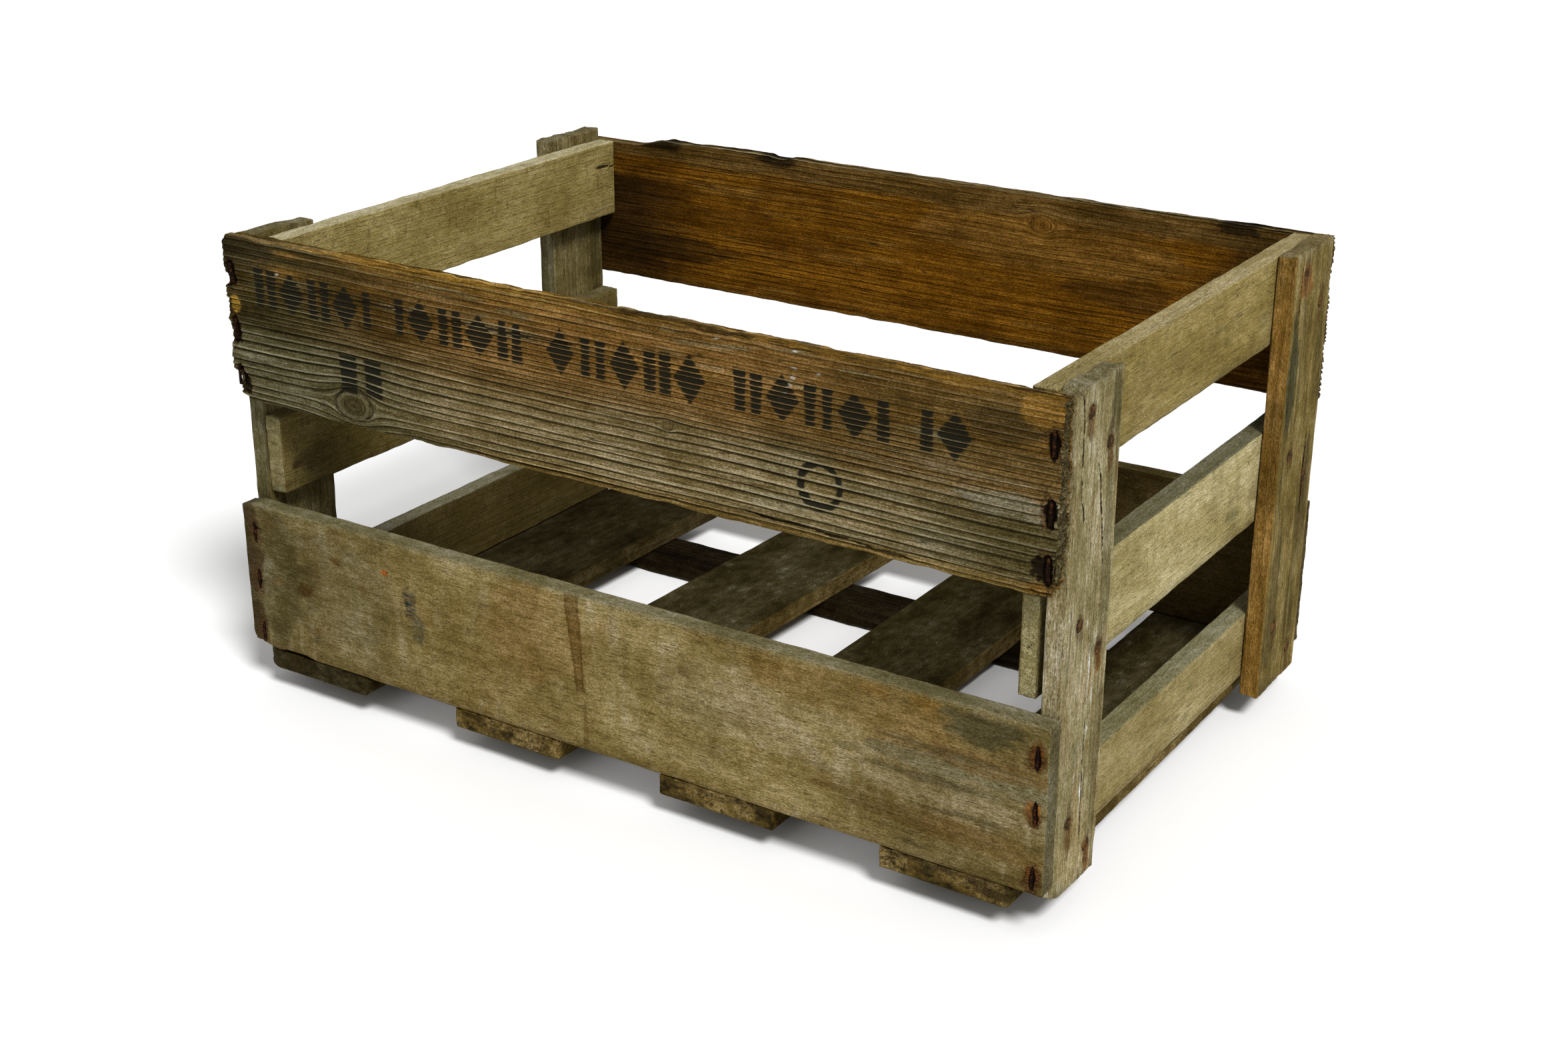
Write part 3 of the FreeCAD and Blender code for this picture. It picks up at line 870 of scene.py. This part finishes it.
def paint_front_lower_face(b, p):
    """The broad colours, with the brown run down the middle."""
    p.over(ease(b.s, 190, 40), (0.245, 0.195, 0.082), 0.9)
    p.over(ease(b.s, 340, 460), (0.24, 0.19, 0.079), 0.85)
    p.patches(40, 34, 0, 0.5, 60, (0.5, 0.42, 0.235), 0.5)
    p.patches(34, 26, 0.05, 0.5, 61, (0.27, 0.18, 0.06), 0.6)
    p.patches(9, 60, 0, 0.5, 67, (0.27, 0.185, 0.07), 0.6, face=OUTER)
    p.patches(6, 34, 0.1, 0.5, 68, (0.52, 0.45, 0.28), 0.45, face=OUTER)
    p.patches(3, 2, 0.3, 0.6, 69, (0.22, 0.15, 0.055), 0.5, face=OUTER)
    p.spot(206, 62, 42, 30, 0.7, (0.33, 0.21, 0.07), 0.55)
    p.spot(60, 40, 75, 40, 0.7, (0.2, 0.165, 0.075), 0.5)
    p.spot(25, 50, 28, 40, 0.8, (0.1, 0.085, 0.04), 0.5)
    p.spot(330, 48, 60, 22, 0.8, (0.55, 0.47, 0.29), 0.4)
    width = 3.4 + 1.5 * ease(b.t, 36, 80)
    wobble = 0.5 * rough(b.t / 6, 0, 0, 3, 5)
    off = np.abs(b.s - 231 - 0.09 * (87 - b.t) + wobble)
    streak = ease(off, width, width - 1.1) * ease(b.t, 32, 34) * b.facing(OUTER)
    p.over(streak, (0.2, 0.115, 0.03), 0.8)
    p.over(streak * ease(off, width - 2.2, width - 1), (0.13, 0.07, 0.018), 0.7)
    p.spot(238, 12, 1.6, 18, 0.6, (0.2, 0.12, 0.035), 0.6)


def paint_front_lower_marks(b, p):
    """A shapeless smear, drops, and the dirt round the left end."""
    smear = b.patches(5, 1.1, -0.5, 0.3, 85)
    p.over(b.spot(122, 54, 5.5, 10, OUTER, 0.5) * smear, (0.022, 0.032, 0.036), 0.95)
    p.over(b.spot(127, 40, 5.5, 10, OUTER, 0.6) * smear, (0.07, 0.085, 0.08), 0.7)
    p.spot(105, 68, 3, 2.2, 0.3, (0.42, 0.12, 0.015), 0.95)
    p.spot(44, 43, 6.5, 4.4, 0.3, (0.14, 0.072, 0.016), 0.95)
    p.over(b.patches(12, 14, 0, 0.5, 80, OUTER) * ease(b.s, 120, 30), (0.1, 0.078, 0.034), 0.6)
    p.over(b.patches(10, 12, 0.1, 0.5, 81, OUTER) * ease(b.s, 130, 60), (0.32, 0.29, 0.19), 0.4)
    for t in (85, 49, 16):
        p.spot(5, t, 8, 15, 0.8, (0.075, 0.038, 0.014), 0.7)
    for s, t in [(70, 66), (52, 20), (88, 55), (24, 43), (300, 62)]:
        p.spot(s, t, 4, 2.6, 0.8, (0.2, 0.115, 0.035), 0.6)


def paint_front_lower_right(b, p):
    """Long bands of stain towards the right end, and rust round its staples."""
    p.spot(405, 72, 80, 20, 0.8, (0.36, 0.23, 0.08), 0.6)
    for s, t in [(410, 82), (436, 83)]:
        p.spot(s, t, 9, 4, 0.5, (0.45, 0.24, 0.05), 0.35, face=0)
    p.spot(450, 52, 55, 8, 0.9, (0.21, 0.185, 0.1), 0.7)
    p.spot(468, 60, 40, 6, 0.9, (0.24, 0.145, 0.045), 0.6)
    p.spot(474, 20, 36, 7, 0.9, (0.25, 0.155, 0.05), 0.6)
    p.spot(448, 37, 50, 7, 0.9, (0.36, 0.29, 0.15), 0.6)
    p.spot(430, 22, 60, 8, 0.9, (0.22, 0.14, 0.05), 0.6)
    for s, t, long in [(448, 60, 40), (430, 44, 30), (462, 30, 26)]:
        p.spot(s, t, long, 2.2, 0.9, (0.12, 0.095, 0.045), 0.65)
    p.spot(466, 77, 24, 9, 0.9, (0.125, 0.115, 0.062), 0.75)
    for t in (70.5, 41.5, 8.5):
        p.spot(493.4, t, 5, 9, 0.7, (0.2, 0.085, 0.02), 0.7)
        p.spot(495.2, t + 1, 1.8, 6, 0.7, (0.36, 0.13, 0.018), 0.8)
        p.spot(491.2, t + 2, 1.8, 5, 0.7, (0.36, 0.13, 0.018), 0.6)


def inner_hardwood(b, p):
    """The sheltered inner face of a lower board."""
    p.over(b.facing(INNER), (0.2, 0.14, 0.05))
    p.patches(80, 20, -0.1, 0.6, 70, (0.1, 0.075, 0.03), 0.7, face=INNER)
    p.over(ease(b.t, 20, 2) * b.facing(INNER), SOOT, 0.5)


def back_lower_board():
    b = lower_board("back_lower_board", 1, 4)
    p = Paint(b, (0.36, 0.27, 0.11))
    p.patches(90, 40, -0.1, 0.5, 60, (0.25, 0.19, 0.08), 0.7)
    p.patches(60, 20, 0.1, 0.5, 61, (0.45, 0.36, 0.17), 0.5)
    p.over(ease(b.t, 9, 0.5), (0.2, 0.14, 0.05), 0.6)
    p.over(ease(np.abs(b.s - 248), 228, 244), (0.09, 0.07, 0.03), 0.7)
    p.patches(40, 4, 0.25, 0.6, 62, SOOT, 0.6)
    inner_hardwood(b, p)
    b.build(p.rgb, HARDWOOD, (0.58, 0.56, 0.49))


# ---- corner posts


def post(node, out, seed):
    """A rough-sawn corner post, not painted yet."""
    b = Timber(node, "ZYX", out, seed)
    b.cut((1.2, 0.42, 0.8), [(250, 8, 0.6)])
    rings = (-10, 70, 4, 20 + seed)
    saw(b, radius=1.3, bend=2, rings=rings, shows=0.45, ridge=0.16, fibre=0.22, fray=(0.7, 13), ends=0.5)
    splits = np.clip(rough(b.t / 11, b.w / 5, 0, 3, seed + 60) + 0.2, 0, 1)
    b.trim(0, 1, 1.3 * splits, 12)
    b.trim(0, -1, splits, 10)
    nail_seats(b, node + "_nails", 0, out)
    return b


def weather_post(b, p):
    """Dirt runs, smudges and rubbed edges of a post."""
    p.patches(45, 14, 0, 0.6, 60, (0.45, 0.39, 0.23), 0.45)
    p.patches(60, 10, 0.05, 0.6, 61, (0.22, 0.175, 0.08), 0.5)
    p.patches(18, 9, 0.25, 0.6, 62, OLIVE, 0.5)
    p.patches(26, 2.6, 0.38, 0.6, 63, SOOT, 0.5)
    p.over(ease(b.s, 12, 1), (0.13, 0.1, 0.045), 0.6)
    p.over(ease(b.s, 246, 252), (0.26, 0.22, 0.13), 0.5)


def right_front_post():
    b = post("right_front_post", 1, 5)
    b.crack([(182, 14), (201, 8.5), (223, 8), (254, 5)], 0.62, 2.6, 3)
    b.crack([(156, 36), (203, 28), (221, 21)], 0.62, 2.2, 4)
    b.crack([(20, 27), (60, 25.5), (92, 26)], 0.55, 1, 5)
    b.trim(0, 1, 3.4 * ease(np.abs(b.t - 3), 5, 2) + 1.6 * ease(np.abs(b.t - 29), 5, 2), 14)
    b.trim(0, -1, 3.6 * ease(b.t, 10, 1), 12)
    b.trim(1, 1, 1.6 * ease(np.abs(b.s - 8), 12, 4), 8)

    p = Paint(b, (0.37, 0.315, 0.165))
    weather_post(b, p)
    p.spot(170, 38, 60, 6, 0.7, (0.19, 0.165, 0.085), 0.6)
    p.spot(236, 40, 16, 6, 0.6, (0.12, 0.095, 0.045), 0.6)
    p.spot(60, 40, 50, 5, 0.7, (0.15, 0.115, 0.05), 0.6)
    p.spot(20, 18, 26, 15, 0.7, (0.42, 0.33, 0.155), 0.6)
    for s, t, long in [(112, 27, 9), (98, 31, 8), (80, 28, 3), (60, 17, 3), (50, 25, 6), (136, 23, 2)]:
        p.spot(s, t, long, 0.9, 0.9, (0.78, 0.77, 0.7), 0.75)
        p.spot(s - 8, t + 1.5, long, 0.9, 0.9, (0.32, 0.15, 0.03), 0.6)
    p.patches(40, 7, 0.1, 0.5, 66, (0.36, 0.25, 0.12), 0.45, face=OUTER)
    for number, (low, high) in enumerate(outer_ends("right_front_post_nails", 0, 1, 7.5)):
        s, t, _, half_t = b.own(low, high)
        weep = b.spot(s - 7, t, 8, half_t, OUTER, 0.9)
        p.over(weep, (0.25, 0.105, 0.02), 0.9 * hashed(number, 5, 0, 12))
    p.over(ease(b.normal[:, 1], -0.3, -0.8), (0.4, 0.33, 0.18), 0.8)
    b.build(p.rgb, POST_WOOD, (0.77, 0.77, 0.77))


def right_back_post():
    b = post("right_back_post", 1, 6)
    b.crack([(95, 41), (118, 39.5), (150, 40)], 0.8, 1.6, 3)
    b.crack([(205, 12), (228, 10), (254, 12)], 0.7, 1.6, 4)
    p = Paint(b, (0.24, 0.185, 0.07))
    weather_post(b, p)
    p.patches(60, 12, 0, 0.4, 64, (0.34, 0.25, 0.1), 0.6)
    p.patches(40, 4, 0.1, 0.4, 67, (0.1, 0.085, 0.04), 0.6, face=OUTER)
    p.spot(186, 9, 34, 8, 0.6, (0.06, 0.062, 0.035), 0.85)
    p.spot(110, 44, 40, 8, 0.6, (0.09, 0.07, 0.03), 0.7)
    p.spot(60, 12, 40, 10, 0.8, (0.1, 0.08, 0.035), 0.6)
    p.spot(236, 17, 10, 10, 0.7, (0.26, 0.1, 0.022), 0.6)
    edge = ease(b.normal[:, 1], -0.3, -0.8)
    p.over(edge, (0.33, 0.19, 0.05))
    p.over(edge * ease(b.s, 205, 250), (0.44, 0.27, 0.07), 0.8)
    p.over(edge * b.patches(50, 9, 0, 0.5, 65), (0.2, 0.12, 0.035), 0.7)
    b.build(p.rgb, POST_WOOD, (0.72, 0.68, 0.55))


def left_post(node, seed):
    b = post(node, -1, seed)
    if node == "left_front_post":
        b.trim(0, 1, 4.4 + 1.6 * ease(b.t, 30, 46), 14)
    b.crack([(120, 20), (160, 22), (210, 20)], 0.7, 1.4, 3)
    b.crack([(225, 34), (240, 35), (256, 34)], 0.5, 1.2, 4)
    p = Paint(b, (0.27, 0.225, 0.11))
    weather_post(b, p)
    p.over(b.facing(INNER), (0.22, 0.165, 0.065), 0.7)
    p.patches(50, 12, 0.1, 0.5, 64, (0.1, 0.075, 0.03), 0.7, face=INNER)
    p.over(ease(b.normal[:, 1], -0.3, -0.8) * ease(b.s, 235, 200), (0.13, 0.115, 0.062), 0.8)
    b.build(p.rgb, POST_WOOD, (0.72, 0.72, 0.65))


# ---- end slats


def slat(node, out, seed):
    """A sawn end slat with faint saw marks, not painted yet."""
    b = Timber(node, "YZX", out, seed)
    b.cut((1.5, 1, 1))
    rings = (-8, 64, 4.5, 30 + seed)
    saw(b, radius=1.2, bend=2, rings=rings, shows=0.35, ridge=0.14, fibre=0.16, fray=(0.55, 15), ends=0.7)
    swing = 2 * noise(b.s / 30, b.t / 30, 0, seed)
    b.depth += 0.07 * waves(b.s + 0.25 * b.t + swing, 4.2) * np.abs(b.normal[:, 2])
    return b


def weather_slat(b, p):
    p.patches(50, 24, 0, 0.6, 60, (0.46, 0.385, 0.2), 0.45)
    p.patches(45, 22, 0.05, 0.6, 61, (0.24, 0.175, 0.07), 0.5)
    p.patches(9, 30, 0.1, 0.5, 66, (0.26, 0.2, 0.09), 0.35)
    p.patches(22, 9, 0.3, 0.6, 62, OLIVE, 0.5)
    p.patches(26, 2.5, 0.38, 0.6, 63, SOOT, 0.45)


def sprung_end(b):
    """The front end of this slat stands a little off its post and shows slanting saw marks."""
    half = b.size[2] / 2
    b.place[:, 2] = np.minimum(b.place[:, 2], half - 3 * ease(b.s, 45, 4))
    front = ease(-b.normal[:, 0], 0.5, 0.9)
    b.depth += 0.5 * waves(b.t + 1.3 * b.w, 2.6) * front
    line = b.t - 27 - 0.5 * b.w - 1.5 * np.sin(b.w / 2.2)
    split = front * ease(np.abs(line), 0.6, 0.2) * ease(b.w, -4.5, -1)
    b.dig(split, 0.6, 0.7)


def right_slats():
    colours = [
        ("right_bottom_slat", 8, (0.33, 0.265, 0.12), (0.83, 0.82, 0.76), (0.2, 0.19, 0.115)),
        ("right_middle_slat", 9, (0.46, 0.385, 0.18), (0.77, 0.77, 0.76), (0.095, 0.092, 0.052)),
        ("right_top_slat", 10, (0.34, 0.26, 0.095), (0.68, 0.66, 0.58), (0.4, 0.33, 0.17)),
    ]
    for node, seed, colour, tone, top in colours:
        b = slat(node, 1, seed)
        if node == "right_middle_slat":
            sprung_end(b)
        p = Paint(b, colour)
        weather_slat(b, p)
        p.over(ease(b.s, 60, 20) + ease(b.s, 240, 290), (0.22, 0.16, 0.06), 0.6)
        p.over(b.facing(INNER), (0.18, 0.125, 0.045), 0.7)
        if node == "right_middle_slat":
            p.over(ease(-b.normal[:, 0], 0.5, 0.9), (0.47, 0.4, 0.19))
        p.over(b.upward(), top, 0.85)
        p.over(ease(b.t, 6, 0.5) * b.facing(OUTER), (0.17, 0.14, 0.07), 0.5)
        b.build(p.rgb, SLAT_WOOD, tone)


def left_slats():
    # The third item is each inner face's colour: it darkens from the top slat down to the bottom one as
    # painted shade inside the crate, over the wood's own colour.
    colours = [
        ("left_bottom_slat", 11, (0.088, 0.062, 0.02), (0.14, 0.13, 0.085)),
        ("left_middle_slat", 12, (0.15, 0.11, 0.035), (0.12, 0.09, 0.035)),
        ("left_top_slat", 13, (0.37, 0.285, 0.105), (0.46, 0.4, 0.24)),
    ]
    for node, seed, colour, top in colours:
        b = slat(node, -1, seed)
        if node == "left_top_slat":
            b.crack([(284, 33), (296, 32), (312, 30.5)], 0.8, 1.2, 3, face=INNER)
        p = Paint(b, (0.36, 0.3, 0.15))
        weather_slat(b, p)
        # The inner face colour, with its painted shade.
        p.over(b.facing(INNER), colour)
        p.patches(40, 22, 0, 0.6, 64, np.array(colour) * 1.2, 0.5, face=INNER)
        p.patches(50, 20, 0, 0.6, 65, np.array(colour) * 0.75, 0.5, face=INNER)
        p.over(b.upward(), top, 0.85)
        ticks = b.patches(1.3, 9, 0.3, 0.5, 66, INNER)
        p.over(ticks, np.array(colour) * 0.45, 0.6)
        if node == "left_bottom_slat":
            scuffs = b.patches(7, 9, 0.2, 0.5, 67, INNER) * b.spot(45, 26, 60, 14, INNER, 0.6)
            p.over(scuffs, (0.3, 0.27, 0.17), 0.7)
        if node == "left_middle_slat":
            p.spot(10.5, 15, 4.5, 2.2, 0.6, (0.02, 0.012, 0.005), 0.9, face=INNER)
            p.spot(22, 16, 16, 7, 0.9, (0.08, 0.055, 0.02), 0.6, face=INNER)
        b.build(p.rgb, SLAT_WOOD, (0.76, 0.76, 0.7))


# ---- floor boards and runners


def floor_board(number, lean):
    b = Timber(f"floor_board_{number}", "YXZ", 1, 13 + number, lean)
    b.cut((1.8, 1.1, 1), [(4, 8, 0.8)])
    rings = (-8, 100, 5, 40 + number)
    saw(b, radius=1.3, bend=2, rings=rings, shows=0.25, ridge=0.22, fibre=0.25, fray=(0.4, 12), ends=0.5)
    half = b.size[2] / 2
    for side in {1: (-1, 1), 4: (1,)}.get(number, ()):
        from_side = b.size[1] / 2 - side * b.place[:, 1]
        bow = 7 - np.sqrt(np.clip(49 - np.clip(7 - from_side, 0, 7) ** 2, 0, 49))
        b.place[:, 2] = np.maximum(b.place[:, 2], bow * ease(b.s, 60, 10) - half)
    for staples in ("front_floor_staples", "back_floor_staples"):
        staple_pits(b, staples, 2, -1, INNER)
    p = Paint(b, (0.081, 0.066, 0.028))
    p.patches(40, 40, 0, 0.6, 60, (0.1, 0.087, 0.042), 0.6)
    p.patches(50, 26, 0, 0.6, 61, (0.035, 0.026, 0.009), 0.6)
    p.patches(9, 6, 0.3, 0.55, 62, (0.22, 0.205, 0.145), 0.45)
    p.patches(2.2, 1.8, 0.5, 0.65, 64, (0.3, 0.28, 0.2), 0.5)
    p.over(np.abs(b.normal[:, 1]) > 0.6, (0.21, 0.145, 0.048), 0.85)
    if number == 1:
        p.over(1, (0.018, 0.013, 0.004), 0.7)
    front = ease(b.s, 5, 0.5)
    p.over(front, (0.078, 0.062, 0.026) if number == 1 else (0.45, 0.31, 0.105), 0.9)
    stained = ease(rough(b.t / 9, b.w / 4, b.s / 9, 4, 63 + number), -0.1, 0.45)
    p.over(front * stained, (0.04, 0.029, 0.011), 0.75)
    black = ease(rough(b.t / 3, b.w / 1.4, b.s / 9, 3, 83 + number), 0.2, 0.5)
    p.over(front * black, (0.01, 0.009, 0.006), 0.85)
    for share in (-19, -13.5, 16, 22):
        off = np.abs(b.t - b.size[1] / 2 - share + 0.12 * b.w) + 0.5 * rough(b.w / 2, b.s, share, 2, number)
        b.rust = np.maximum(b.rust, 0.55 * ease(off, 0.9, 0.3) * front * ease(b.w, -5, 1))
    p.over(b.facing(INNER), (0.2, 0.15, 0.06), 0.6)
    b.build(p.rgb, FLOOR_WOOD, (0.55, 0.53, 0.45))


def runner(node, seed):
    b = Timber(node, "XYZ", 1, seed)
    b.cut((1.8, 1.1, 1))
    rings = (-8, 60, 4.5, 50 + seed)
    saw(b, radius=1.3, bend=1.5, rings=rings, shows=0.5, ridge=0.2, fibre=0.25, fray=(0.8, 12), ends=1)
    staple_pits(b, node + "_staples", 2, -1, INNER)
    p = Paint(b, (0.028, 0.02, 0.009))
    p.patches(60, 9, 0, 0.5, 60, (0.05, 0.034, 0.013), 0.7)
    p.patches(50, 6, 0.1, 0.5, 61, (0.015, 0.011, 0.006), 0.7)
    p.over(b.facing(INNER), (0.19, 0.15, 0.07), 0.7)
    b.build(p.rgb, FLOOR_WOOD, (0.36, 0.33, 0.26))


# ---- assembly


front_upper_board()
back_upper_board()
front_lower_board()
back_lower_board()
right_front_post()
right_back_post()
left_post("left_front_post", 7)
left_post("left_back_post", 19)
right_slats()
left_slats()
for number, lean in enumerate((10, 12.5, 2, -1.5), 1):
    floor_board(number, lean)
runner("front_runner", 20)
runner("back_runner", 21)

for name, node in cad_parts.items():
    if name.endswith(("_nails", "_staples")):
        iron = NAIL_IRON if name.endswith("_nails") else STAPLE_IRON
        node.data.materials.clear()
        node.data.materials.append(iron)


# ---- studio


FLOOR_REACH = 40.0
SKY_STRENGTH = 0.5
SUN_STRENGTH = 3.3
SUN_SPREAD = math.radians(16.0)
SUN_FROM = (0.54, -0.36, 0.76)
EYE_PLACE = (0.61536, -0.94919, 0.55873)
EYE_AZIMUTH = math.radians(32.846)
EYE_DOWN = math.radians(22.185)
EYE_ROLL = math.radians(0.157)
LENS = 50.2


def studio_floor():
    tree = Tree("studio_floor")
    where = tree.node("TexCoord")["Object"]
    shade = tree.step(tree.noise(where, (3.0, 3.0, 3.0), 2.0), 0.3, 0.7, 0.86, 0.88)
    tone = tree.node("CombineColor", {0: shade, 1: shade, 2: shade})[0]
    floor_material = tree.finish(tone, 0.9, shade, 0.0001)
    mesh = bpy.data.meshes.new("studio_floor")
    corners = [(x * FLOOR_REACH, y * FLOOR_REACH, -MM) for x, y in ((-1, -1), (1, -1), (1, 1), (-1, 1))]
    mesh.from_pydata(corners, [], [(0, 1, 2, 3)])
    mesh.materials.append(floor_material)
    floor = bpy.data.objects.new("studio_floor", mesh)
    show(floor)


def studio_light():
    world = bpy.data.worlds.new("studio")
    world.use_nodes = True
    back = world.node_tree.nodes["Background"]
    back.inputs["Color"].default_value = (1.0, 1.0, 1.0, 1.0)
    back.inputs["Strength"].default_value = SKY_STRENGTH
    bpy.context.scene.world = world
    data = bpy.data.lights.new("key", "SUN")
    data.energy = SUN_STRENGTH
    data.angle = SUN_SPREAD
    lamp = bpy.data.objects.new("key", data)
    lamp.rotation_euler = Vector(SUN_FROM).to_track_quat("Z", "Y").to_euler()
    show(lamp)


def camera():
    """Looks down at the crate's right front corner."""
    level = math.cos(EYE_DOWN)
    forward = Vector((-math.sin(EYE_AZIMUTH) * level, math.cos(EYE_AZIMUTH) * level, -math.sin(EYE_DOWN)))
    data = bpy.data.cameras.new("camera")
    data.lens = LENS
    data.sensor_width = 36.0
    data.clip_end = 100.0
    eye = bpy.data.objects.new("camera", data)
    eye.matrix_world = forward.to_track_quat("-Z", "Y").to_matrix().to_4x4()
    eye.rotation_euler.rotate_axis("Z", EYE_ROLL)
    eye.location = EYE_PLACE
    show(eye)
    bpy.context.scene.camera = eye


studio_floor()
studio_light()
camera()
bpy.context.scene.view_settings.view_transform = "Standard"
bpy.context.scene.view_settings.look = "None"

bpy.context.view_layer.update()
